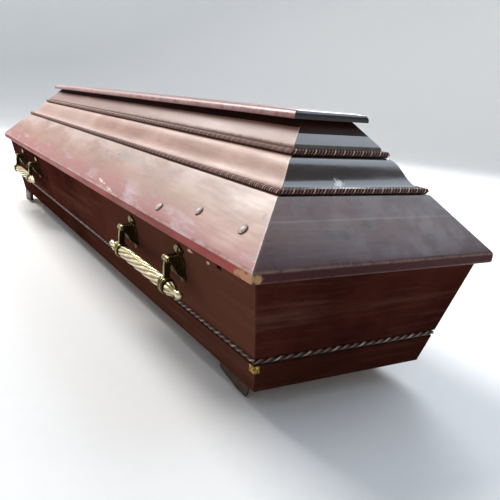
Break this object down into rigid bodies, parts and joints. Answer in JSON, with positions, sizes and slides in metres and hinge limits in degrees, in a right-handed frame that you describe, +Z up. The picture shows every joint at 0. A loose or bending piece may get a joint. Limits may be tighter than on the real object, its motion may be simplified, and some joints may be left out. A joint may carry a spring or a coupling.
{
  "type": "wooden coffin",
  "caption": "Lacquered wooden coffin with flared chest, hipped tiered lid, twisted rope mouldings, bracket feet and swinging brass bar handles.",
  "frame": {"origin": "middle of the whole object's plan, on the floor under the feet", "axes": "+X toward the foot end, +Y toward the right side as seen from the foot end, +Z up"},
  "size_m": [2, 0.5683, 0.47],
  "materials": {
    "lacquered_wood": "worn glossy red-brown lacquer, faded pale on the sunlit slopes",
    "rope_moulding": "dark red lacquer with worn gold in the grooves",
    "aged_brass": "aged cast brass, bright where rubbed and dark olive in the hollows",
    "screw_metal": "dull lacquered metal",
    "gilt": "gilt stamped brass, crumpled"
  },
  "bodies": {
    "coffin": {"chest_board_left": "lacquered_wood", "chest_board_foot": "lacquered_wood", "chest_board_right": "lacquered_wood", "chest_board_head": "lacquered_wood", "chest_floor": "lacquered_wood", "bracket_foot_foot_left": "lacquered_wood", "bracket_foot_foot_right": "lacquered_wood", "bracket_foot_head_left": "lacquered_wood", "bracket_foot_head_right": "lacquered_wood", "chest_rope_left": "rope_moulding", "chest_rope_foot": "rope_moulding", "chest_rope_right": "rope_moulding", "chest_rope_head": "rope_moulding", "lower_slope_left": "lacquered_wood", "lower_slope_foot": "lacquered_wood", "lower_slope_right": "lacquered_wood", "lower_slope_head": "lacquered_wood", "ogee_left": "lacquered_wood", "ogee_foot": "lacquered_wood", "ogee_right": "lacquered_wood", "ogee_head": "lacquered_wood", "upper_slope_left": "lacquered_wood", "upper_slope_foot": "lacquered_wood", "upper_slope_right": "lacquered_wood", "upper_slope_head": "lacquered_wood", "cap_board": "lacquered_wood", "lower_rope_left": "rope_moulding", "lower_rope_foot": "rope_moulding", "lower_rope_right": "rope_moulding", "lower_rope_head": "rope_moulding", "upper_rope_left": "rope_moulding", "upper_rope_foot": "rope_moulding", "upper_rope_right": "rope_moulding", "upper_rope_head": "rope_moulding", "handle_plate_foot_left_a": "aged_brass", "handle_plate_foot_left_b": "aged_brass", "handle_plate_foot_right_a": "aged_brass", "handle_plate_foot_right_b": "aged_brass", "handle_plate_head_left_a": "aged_brass", "handle_plate_head_left_b": "aged_brass", "handle_plate_head_right_a": "aged_brass", "handle_plate_head_right_b": "aged_brass", "lid_screw_1": "screw_metal", "lid_screw_2": "screw_metal", "lid_screw_3": "screw_metal", "gilt_corner": "gilt"},
    "bail_foot_left": {"handle_arm_foot_left_a": "aged_brass", "handle_arm_foot_left_b": "aged_brass", "handle_bar_foot_left": "aged_brass"},
    "bail_foot_right": {"handle_arm_foot_right_a": "aged_brass", "handle_arm_foot_right_b": "aged_brass", "handle_bar_foot_right": "aged_brass"},
    "bail_head_left": {"handle_arm_head_left_a": "aged_brass", "handle_arm_head_left_b": "aged_brass", "handle_bar_head_left": "aged_brass"},
    "bail_head_right": {"handle_arm_head_right_a": "aged_brass", "handle_arm_head_right_b": "aged_brass", "handle_bar_head_right": "aged_brass"}
  },
  "joints": [
    {"name": "swing_foot_left", "type": "hinge", "parent": "coffin", "child": "bail_foot_left", "pos_m": [0.6, -0.24581, 0.2025], "axis": [-0.9998, -0.0175, 0], "range_deg": [-17, 90]},
    {"name": "swing_foot_right", "type": "hinge", "parent": "coffin", "child": "bail_foot_right", "pos_m": [0.6, 0.24581, 0.2025], "axis": [0.9998, -0.0175, 0], "range_deg": [-17, 90]},
    {"name": "swing_head_left", "type": "hinge", "parent": "coffin", "child": "bail_head_left", "pos_m": [-0.6, -0.26681, 0.2025], "axis": [-0.9998, -0.0175, 0], "range_deg": [-17, 90]},
    {"name": "swing_head_right", "type": "hinge", "parent": "coffin", "child": "bail_head_right", "pos_m": [-0.6, 0.26681, 0.2025], "axis": [0.9998, -0.0175, 0], "range_deg": [-17, 90]}
  ]
}
